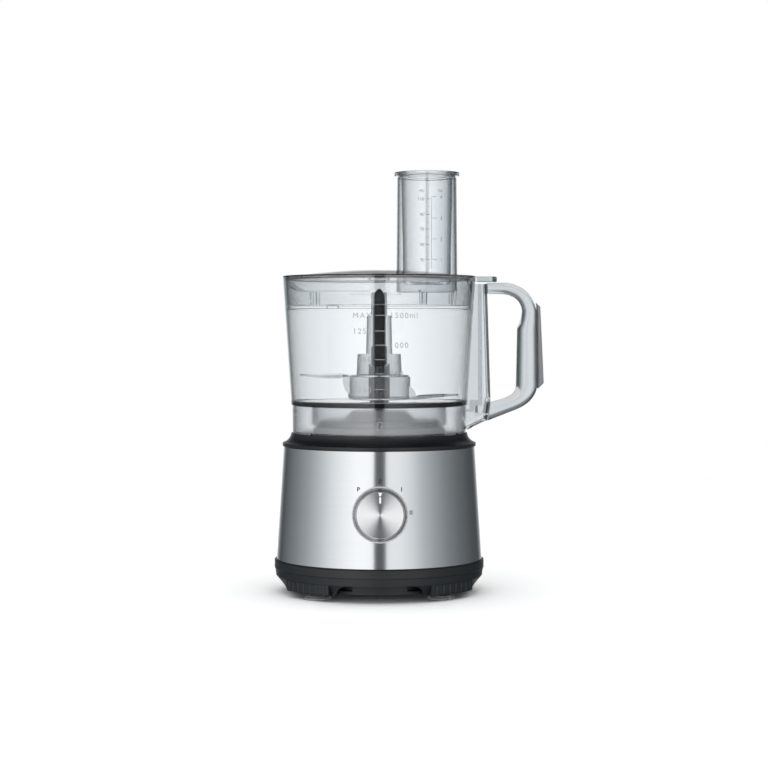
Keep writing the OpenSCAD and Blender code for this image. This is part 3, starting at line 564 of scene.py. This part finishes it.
def handle_curves():
    """Matching points of the handle's outer and inner edges, from the lower root to the upper one."""
    grip_x = 144.6
    z, top = bowl_z, rim_z
    outer = line((98.9, z + 9.2), (125, z + 19.4), 10)[:-1]
    outer += bezier((125, z + 19.4), (142.6, z + 26.6), (grip_x, z + 41), 14)[:-1]
    outer += line((grip_x, z + 41), (143.8, top - 30), 16)[:-1]
    outer += bezier((143.8, top - 30), (140, top - 8.2), (117, top - 4.2), 14)[:-1]
    outer += line((117, top - 4.2), (98.55, top - 4.2), 8)
    inner = line((101.6, z + 26.4), (114, z + 30), 10)[:-1]
    inner += bezier((114, z + 30), (124.6, z + 33.4), (125, z + 42), 14)[:-1]
    inner += line((125, z + 42), (126.1, top - 46), 12)[:-1]
    inner += bezier((126.1, top - 46), (130.2, top - 37), (130.6, top - 30), 4)[:-1]
    inner += bezier((130.6, top - 30), (129, top - 16.5), (113, top - 14.8), 14)[:-1]
    inner += line((113, top - 14.8), (98.85, top - 14.5), 8)
    return outer, inner


def rounded_section(outer, inner, half, power=2.7, count=40):
    """A superellipse between two points in the XZ plane, half as deep as `half` to both sides."""
    middle, arm = (outer + inner) / 2, (outer - inner) / 2
    points = []
    for i in range(count):
        c, s = math.cos(2 * math.pi * i / count), math.sin(2 * math.pi * i / count)
        along = math.copysign(abs(c) ** (2 / power), c)
        across = math.copysign(abs(s) ** (2 / power), s)
        points.append((middle.x + arm.x * along, half * across, middle.y + arm.y * along))
    return points


outer_edge, inner_edge = handle_curves()
last = len(outer_edge) - 1
handle_sections = []
for i, (out_point, in_point) in enumerate(zip(outer_edge, inner_edge)):
    waist = math.sin(math.pi * i / last) ** 0.5
    handle_sections.append(rounded_section(out_point, in_point, 10.9 - 1.1 * waist))
piece("frosted_handle", loft(handle_sections), "bowl_unit", FROSTED, ["handle"])

# The grip inlay lies along the handle's outer face, with slanted ends
grip_low, grip_high = low("handle_grip").z, high("handle_grip").z
grip_out = high("handle_grip").x
grip_edge = line((145.3, grip_low), (grip_out, grip_low + 5), 5) + line(
    (grip_out, grip_low + 5), (147.2, grip_high - 3.5), 20)[1:] + line(
    (147.2, grip_high - 3.5), (143.4, grip_high), 5)[1:]
grip_sections = []
for i, edge in enumerate(grip_edge):
    t = i / (len(grip_edge) - 1)
    swell = (math.sin(math.pi * min(max(t, 0.02), 0.98))) ** 0.25
    seat = Vector((144.8 - 0.85 * t, grip_low + 0.5 + (grip_high - grip_low - 1.0) * t))
    grip_sections.append(rounded_section(Vector((edge.x, edge.y)), seat, 8 * swell, power=3.4, count=32))
piece("grip_inlay", loft(grip_sections), "bowl_unit", GRIP, ["handle_grip"])

# ---- lid ----

dome_rise = 7.6
dome_edge_r = 80
dome_r = (dome_edge_r ** 2 + 36) / 12 + dome_rise / 4
dome_top = rim_z + dome_rise
lid_skirt_low = bowl_r(ledge_z + 3) - 2.4
lid_skirt_high = rim_r - 2.4
dome_angle = math.asin(dome_edge_r / dome_r)


def dome(radius, from_angle, to_angle, steps=24):
    spans = [from_angle + (to_angle - from_angle) * i / steps for i in range(steps + 1)]
    return [(radius * math.sin(a), dome_top - dome_r + radius * math.cos(a)) for a in spans]


lid_edge = fillet([
    (dome_edge_r - 4, rim_z - 0.6), (lid_skirt_high - 2.1, rim_z - 1.4, 1.2),
    (lid_skirt_low - 1.9, ledge_z + 3, 0.5), (lid_skirt_low, ledge_z + 3, 0.5),
    (lid_skirt_high, rim_z + 0.2, 0.4), (rim_r, rim_z + 0.2, 0.4),
    (rim_r, rim_z + 1.6, 0.6), (dome_edge_r + 3, rim_z + 1.7)])[1:-1]
under = dome(dome_r - 2.2, 0, dome_angle - 0.01)
over = dome(dome_r, dome_angle, 0)
lid = piece("clear_lid", revolve([Vector(p) for p in under] + lid_edge + [Vector(p) for p in over]),
            "lid_unit", LID_CLEAR, ["lid"])
boss_r = 10
boss_low = dome_top - 10
combine(lid, revolve(fillet([(0, boss_low), (boss_r, boss_low, 0.6), (boss_r, dome_top - 1),
                             (0, dome_top - 1)]), segments=96), "UNION")
tube_low = rim_z - 13
combine(lid, revolve(fillet([(0, tube_low), (tube_r + 0.9, tube_low, 0.6), (tube_r, tube_top, 0.8),
                             (0, tube_top)]), tube_x, 160), "UNION")
for middle, half, lift in ((208.5, 15.5, 8.5), (243, 19.5, 0), (309, 14, 0), (92, 17, 0)):
    combine(lid, arc_block(lid_skirt_low - 0.8, lid_skirt_low - 5.2, rim_z - 14, rim_z - 12.4, middle, half,
                           lift=lift), "UNION")
for angle in (223.5, 228.5, 296, 299, 320, 323):
    combine(lid, arc_block(lid_skirt_low - 0.8, lid_skirt_low - 5.2, ledge_z + 4, rim_z - 13, angle, 0.5, 2),
            "UNION")
tab_levels = [(0.9, -3.8), (0.3, -3.6), (0, -3), (0, 0.5), (0.3, 1.1), (0.9, 1.3)]
tab = loft([[(x, y, rim_z + level) for x, y in fillet([
    (rim_r - 2.2, inset - 9), (101, inset - 9, 3), (107.4 - inset, -6, 3), (107.4 - inset, 6, 3),
    (101, 9 - inset, 3), (rim_r - 2.2, 9 - inset)])] for inset, level in tab_levels])
combine(lid, tab, "UNION")
combine(lid, box((80, -12, rim_z - 6), (rim_r + 0.4, 12, rim_z + 0.2)), "DIFFERENCE")
combine(lid, revolve([(0, tube_low - 1), (tube_r - 1.2, tube_low - 1), (tube_r - 2, tube_top + 1),
                      (0, tube_top + 1)], tube_x, 160), "DIFFERENCE")
combine(lid, revolve(fillet([(0, boss_low - 1), (boss_r - 2, boss_low - 1), (boss_r - 2, dome_top - 3, 0.6),
                             (0, dome_top - 3)]), segments=96), "DIFFERENCE", crease=28)

# ---- pusher ----

cup_top_r = tube_r - 3.7
cup_low_r = tube_r - 5.5
cup_low = low("pusher").z
piece("clear_pusher", revolve(fillet([
    (0, cup_low), (cup_low_r, cup_low, 3), (cup_top_r, tube_top + 0.1, 0.3),
    (tube_r - 0.8, tube_top + 0.1, 0.3), (tube_r - 0.8, tube_top + 1.6, 0.3),
    (flange_r, tube_top + 1.6, 0.5), (flange_r, flange_top, 0.7),
    (cup_top_r - 1.3, flange_top, 0.8), (cup_top_r - 1.7, tube_top, 1), (cup_low_r - 1.7, cup_low + 1.8, 2.4),
    (0, cup_low + 1.8)]), tube_x), "pusher_unit", CLEAR, ["pusher"])

# ---- blade unit ----

hub_z = floor_top
hub = piece("smoky_hub", revolve(fillet([
    (8.6, hub_z + 1.2, 0.4), (19, hub_z + 1.2, 0.6), (19, hub_z + 3.4, 0.4), (28.4, hub_z + 3.4, 0.8),
    (28.4, hub_z + 22.6, 0.8), (20.8, hub_z + 22.6, 0.6), (19.8, hub_z + 43.4, 0.8), (12, hub_z + 43.6, 0.6),
    (11.2, hub_z + 78.4, 0.6), (7.5, hub_z + 78.6, 0.4), (7.1, hub_z + 99.3, 0.4), (5.3, hub_z + 99.3, 0.3),
    (5.3, hub_z + 50.4), (6.6, hub_z + 49.7), (6.6, hub_z + 34), (8.6, hub_z + 34)])),
    "blade_unit", HUB, ["blade_hub"])
left_fin = [(-x, z) for x, z in bezier((33.2, hub_z + 22.6), (33.2, hub_z + 11), (27, hub_z + 6), 10)]
right_fin = [tuple(p) for p in bezier((28.3, hub_z + 14), (33.4, hub_z + 9), (33.6, hub_z + 4.2), 10)]
for fin in ([(-20, hub_z + 22.6)] + left_fin + [(-20, hub_z + 6)],
            [(20, hub_z + 14)] + right_fin + [(20, hub_z + 4.2)]):
    combine(hub, plate(fin, 9), "UNION")

tip_z = high("spindle").z
spindle_low = low("spindle").z
piece("black_spindle", revolve(
    [Vector((0, spindle_low + 14)), Vector((4.9, spindle_low + 14)), Vector((4.9, spindle_low)),
     Vector((6.4, spindle_low)), Vector((6.4, spindle_low + 17)), Vector((5.1, spindle_low + 17.7))]
    + bezier((5.1, tip_z - 9), (4.2, tip_z - 2), (0, tip_z), 12), segments=96),
    "blade_unit", SPINDLE, ["spindle"])


def sickle_sections(root_x, twist, steps=40):
    """Sections of a blade from root to tip: a flat back that is ground down to a thin cutting edge.
    The blade twists a little towards its tip."""
    cutting = bezier((24, -12), (56, -20), (73, 3), steps)
    back = bezier((24, 12), (48, 3), (72, 3.6), steps)
    sections = []
    for edge, spine in zip(cutting, back):
        if edge.x < root_x:
            continue
        grind = edge.lerp(spine, 0.36)
        lean = math.tan(math.radians(twist * min(1, (edge.x - root_x) / 12)))
        sections.append([(p.x, p.y, z + p.y * lean) for p, z in (
            (edge, 0.6), (grind, 0), (spine, 0), (spine, 1.3), (grind, 1.3), (edge, 0.72))])
    return sections


def blade(name, node, turn, lift, twist, z, ring_out, ring_in):
    bm = loft(sickle_sections(24.5, twist))
    tilt = (Matrix.Rotation(math.radians(turn), 4, "Z") @ Matrix.Translation(Vector((26, 0, z)) * MM)
            @ Matrix.Rotation(-math.radians(lift), 4, "Y") @ Matrix.Translation(Vector((-26, 0, 0)) * MM))
    bmesh.ops.transform(bm, matrix=tilt, verts=bm.verts)
    made = piece(name, bm, "blade_unit", BLADE_STEEL, [node], crease=20)
    combine(made, revolve(fillet([(ring_in, z, 0.1), (ring_out, z, 0.2), (ring_out, z + 1.3, 0.2),
                                  (ring_in, z + 1.3, 0.1)], 2), segments=96), "UNION", crease=20)
    return made


blade("upper_sickle", "upper_blade", 180, 0, 12, hub_z + 22.8, 27, 21.2)
blade("lower_sickle", "lower_blade", 0, 4.6, -11, hub_z + 1.9, 28, 19.2)


# ---- printed scales: letters and ticks laid onto round surfaces ----

def wrap(name, words, ticks, surface, body, made, thickness=0.06, weight=0.0, spread=1.0):
    """Words are (text, height, place along, place up, alignment), and ticks are (from, to, low, high).
    surface(along, up, lift) gives the point where they lie."""
    bm = bmesh.new()
    for text, size, along, up, align in words:
        curve = bpy.data.curves.new(name, "FONT")
        curve.body = text
        curve.size = size * 1.42
        curve.align_x = align
        curve.space_character = spread
        curve.extrude = thickness / 2
        curve.offset = weight * size
        letter = bpy.data.objects.new(name, curve)
        scene.collection.objects.link(letter)
        bpy.context.view_layer.update()
        flat = bpy.data.meshes.new_from_object(letter.evaluated_get(bpy.context.evaluated_depsgraph_get()))
        bpy.data.objects.remove(letter)
        start = len(bm.verts)
        bm.from_mesh(flat)
        bm.verts.ensure_lookup_table()
        for vertex in bm.verts[start:]:
            x, y, lift = vertex.co
            vertex.co = surface(along + x, up - size / 2 + y, lift + thickness / 2) * MM
    for left, right, bottom, top in ticks:
        steps = max(1, round(right - left))
        rings = []
        for i in range(steps + 1):
            x = left + (right - left) * i / steps
            rings.append([bm.verts.new(surface(x, z, lift) * MM)
                          for z, lift in ((bottom, 0), (bottom, thickness), (top, thickness), (top, 0))])
        skin(bm, rings, caps=True)
    return piece(name, bm, body, made)


def on_bowl(along, up, lift):
    r = bowl_r(up) + 0.02 + lift
    angle = along / bowl_r(up)
    return Vector((r * math.sin(angle), -r * math.cos(angle), up))


def on_pusher(along, up, lift):
    wall = cup_low_r + (cup_top_r - cup_low_r) * (up - cup_low) / (tube_top - cup_low)
    r = wall + 0.02 + lift
    return Vector((tube_x + r * math.sin(along / wall), -r * math.cos(along / wall), up))


def on_cover_cone(along, up, lift):
    r = cover_r(up) + 0.02 + lift
    angle = along / cover_r(up)
    return Vector((r * math.sin(angle), -r * math.cos(angle), up))


# Levels of the bowl's scale, from 250 to 1500 millilitres
bowl_levels = [("250", floor_top + 13), ("500", floor_top + 26.6), ("750", floor_top + 39),
               ("1000", floor_top + 51.7), ("1250", floor_top + 64), ("1500ml", floor_top + 77.7)]
bowl_words = [("MAX", 4.8, -7.4, bowl_levels[-1][1], "RIGHT")]
for count, (label, z) in enumerate(bowl_levels):
    bowl_words.append((label, 4.8, 8.6, z, "LEFT") if count % 2 else (label, 4.8, -7.4, z, "RIGHT"))
wrap("bowl_scale", bowl_words, [(-4, 4, z - 0.22, z + 0.22) for label, z in bowl_levels],
     on_bowl, "bowl_unit", PRINT, 0.06, 0, 1.3)
# A dark bracket laid on the bowl at the ledge is painted shade, standing in for the dark look of the ledge's
# moulded edge in the clear plastic.
bracket_low = ledge_z - 0.4
bracket_high = ledge_z + 2.6
wrap("ledge_bracket_shade", [], [(-49.2, -48.5, bracket_low, bracket_high), (-38, -37.3, bracket_low, bracket_high),
                           (-48.5, -38, bracket_high, bracket_high + 0.6)],
     on_bowl, "bowl_unit", EDGE_SHADE)


def capsule_mark(width, height, stroke, z):
    """A raised outline of a capsule on the front of the bowl's skirt."""
    bm = bmesh.new()
    rings = []
    for inset, lift in ((0, 0), (0, 0.3), (stroke, 0.3), (stroke, 0)):
        radius = width / 2 - inset
        ring = []
        for i in range(32):
            angle = 2 * math.pi * (i + 0.5) / 32
            side = 1 if math.sin(angle) > 0 else -1
            x = radius * math.cos(angle)
            up = radius * math.sin(angle) + side * (height - width) / 2
            out = skirt_r + 0.1 + lift
            spot = Vector((out * math.sin(x / out), -out * math.cos(x / out), z + up))
            ring.append(bm.verts.new(spot * MM))
        rings.append(ring)
    skin(bm, rings, closed_path=True)
    return piece("capsule_mark", bm, "bowl_unit", PRINT)


capsule_mark(4.5, 9, 0.6, bowl_z + 7.6)

cup_levels = [("30", 0), ("50", 13.8), ("70", 27.7), ("90", 40.8), ("110", 54.9)]
ounce_levels = [("1", 0), ("2", 18.7), ("3", 37.6), ("4", 56.8)]
cup_scale_z = cup_low + 22.4
cup_words = [("mL", 2.6, -3, cup_scale_z + 62.6, "RIGHT"), ("Oz", 2.6, 9.4, cup_scale_z + 62.6, "LEFT")]
cup_words += [(label, 2.9, -3, cup_scale_z + z, "RIGHT") for label, z in cup_levels]
cup_words += [(label, 2.9, 11.6, cup_scale_z + z, "LEFT") for label, z in ounce_levels]
cup_ticks = [(-1.6, 1.8, cup_scale_z + z - 0.2, cup_scale_z + z + 0.2) for label, z in cup_levels]
cup_ticks += [(0.2, 1.2, cup_scale_z + z - 7.1, cup_scale_z + z - 6.7) for label, z in cup_levels]
cup_ticks += [(4, 8, cup_scale_z + z - 0.2, cup_scale_z + z + 0.2) for label, z in ounce_levels]
cup_ticks.append((3.2, 3.5, cup_scale_z - 8, cup_scale_z + 56.8))
wrap("pusher_scale", cup_words, cup_ticks, on_pusher, "pusher_unit", PRINT, 0.05)

wrap("switch_labels", [("P", 3.7, -18.9, knob_z + 21.9, "CENTER"), ("0", 3.7, 0, knob_z + 28.9, "CENTER"),
                       ("I", 3.7, 18.9, knob_z + 21.9, "CENTER"), ("II", 3.7, 27.4, knob_z + 1.7, "CENTER")],
     [], on_cover_cone, "base", BLACK_PRINT, 0.05, 0.035, 1.15)


for thing in made_pieces:
    even_out(thing)


# ---- studio ----

def studio_light():
    """World light as a function of compass direction: two bright fronts with a narrow dark gap between them,
    dark flags to the sides of the white backdrop, and a soft box overhead that only matt surfaces see."""
    world = bpy.data.worlds.new("studio")
    scene.world = world
    world.use_nodes = True
    tree = world.node_tree
    tree.nodes.clear()

    def node(kind, **settings):
        made = tree.nodes.new(kind)
        for key, value in settings.items():
            setattr(made, key, value)
        return made

    def number(operation, first, second=None):
        made = node("ShaderNodeMath", operation=operation)
        for socket, value in zip(made.inputs, (first, second)):
            if isinstance(value, (int, float)):
                socket.default_value = value
            elif value is not None:
                tree.links.new(value, socket)
        return made.outputs[0]

    def between(source, start, end, first, second):
        made = node("ShaderNodeMapRange", interpolation_type="SMOOTHSTEP")
        for key, value in (("From Min", start), ("From Max", end), ("To Min", first), ("To Max", second)):
            made.inputs[key].default_value = value
        tree.links.new(source, made.inputs["Value"])
        return made.outputs["Result"]

    place = node("ShaderNodeTexCoord")
    split = node("ShaderNodeSeparateXYZ")
    tree.links.new(place.outputs["Generated"], split.inputs[0])
    angle = number("ARCTAN2", split.outputs["X"], number("MULTIPLY", split.outputs["Y"], -1))
    share = number("ADD", number("DIVIDE", angle, 2 * math.pi), 0.5)
    ramp = node("ShaderNodeValToRGB")
    tree.links.new(share, ramp.inputs["Fac"])
    # Compass angle from the front in degrees, to the right positive, and brightness there
    stops = [(-180, 1.15), (-170, 1.1), (-158, 0.35), (-147, 0.1), (-111, 0.33), (-90, 0.54), (-72, 0.84),
             (-56, 1.2), (-41, 1.45), (-27, 1.65), (-13, 1.66), (-7.2, 1.62), (-5.7, 0.16), (6.3, 0.16),
             (7.8, 1.35), (14, 1.36), (22, 1.34), (36, 1.13), (50, 0.78), (66, 0.54), (83, 0.35), (103, 0.22),
             (130, 0.12), (147, 0.1), (158, 0.35), (170, 1.1), (180, 1.15)]
    peak = 1.7
    elements = ramp.color_ramp.elements
    while len(elements) < len(stops):
        elements.new(0.5)
    for element, (degrees, value) in zip(elements, stops):
        element.position = degrees / 360 + 0.5
        level = value / peak
        cool = 0.10 * (1 - level)
        element.color = (level * (1 - cool), level * (1 - 0.2 * cool), level * (1 + 0.4 * cool), 1)
    seen = node("ShaderNodeLightPath")
    matt = number("MINIMUM", seen.outputs["Diffuse Depth"], 1)
    overhead = number("MULTIPLY", between(split.outputs["Z"], 0.45, 0.8, 0, 1), matt)
    ceiling = between(split.outputs["Z"], 0.25, 0.75, 1, 0.25)
    # The backdrop fades upwards, so that only its lower part shines through the clear pieces
    behind = between(split.outputs["Y"], 0.5, 0.9, 0, 1)
    fade = between(split.outputs["Z"], 0.06, 0.22, 0, 0.72)
    panel = number("SUBTRACT", 1, number("MULTIPLY", behind, fade))
    ceiling = number("MULTIPLY", ceiling, panel)
    below = between(split.outputs["Z"], -0.35, 0.0, 0.7, 1)
    horizon = node("ShaderNodeVectorMath", operation="SCALE")
    tree.links.new(ramp.outputs["Color"], horizon.inputs[0])
    tree.links.new(number("MULTIPLY", number("MULTIPLY", below, ceiling), peak), horizon.inputs["Scale"])
    mixed = node("ShaderNodeMix", data_type="RGBA")
    tree.links.new(overhead, mixed.inputs["Factor"])
    tree.links.new(horizon.outputs[0], mixed.inputs["A"])
    soft_box = (2.04, 2.03, 2.02, 1)
    mixed.inputs["B"].default_value = soft_box
    light = node("ShaderNodeBackground")
    tree.links.new(mixed.outputs["Result"], light.inputs["Color"])
    plain = node("ShaderNodeBackground")
    plain.inputs["Color"].default_value = (1, 1, 1, 1)
    either = node("ShaderNodeMixShader")
    tree.links.new(seen.outputs["Is Camera Ray"], either.inputs[0])
    tree.links.new(light.outputs[0], either.inputs[1])
    tree.links.new(plain.outputs[0], either.inputs[2])
    output = node("ShaderNodeOutputWorld")
    tree.links.new(either.outputs[0], output.inputs["Surface"])


def studio_floor():
    """A round pale floor, wide enough to reach past the camera's view in front of the object."""
    bm = bmesh.new()
    rings = [[bm.verts.new((r * math.cos(a), r * math.sin(a), -0.0002))
              for a in (2 * math.pi * i / 96 for i in range(96))] for r in (0.1, 0.3, 0.9, 1.4)]
    skin(bm, rings, closed_path=False)
    bm.faces.new(rings[0])
    mesh = bpy.data.meshes.new("studio_floor")
    bmesh.ops.recalc_face_normals(bm, faces=bm.faces)
    bm.to_mesh(mesh)
    bm.free()
    floor = bpy.data.objects.new("studio_floor", mesh)
    scene.collection.objects.link(floor)
    paint = material("pale_floor", (0.88, 0.885, 0.89), 0.9)
    vary_roughness(paint, noise(paint, (20, 20, 20)), 0.85, 0.95)
    mesh.materials.append(paint)
    floor.visible_glossy = False


studio_light()
studio_floor()
scene.view_settings.view_transform = "Standard"
scene.cycles.max_bounces = 32
scene.cycles.transmission_bounces = 28
scene.cycles.glossy_bounces = 6
scene.cycles.diffuse_bounces = 3
scene.cycles.transparent_max_bounces = 16

camera = bpy.data.objects.new("camera", bpy.data.cameras.new("camera"))
scene.collection.objects.link(camera)
turn = math.radians(-0.6)
distance = 1.756
eye_height = 0.237
camera.location = Matrix.Rotation(turn, 4, "Z") @ Vector((0.0044, -distance, eye_height))
camera.rotation_euler = (math.pi / 2, 0, turn)
camera.data.lens = 90
camera.data.sensor_width = 36
camera.data.shift_y = -0.069
camera.data.clip_end = 20
scene.camera = camera
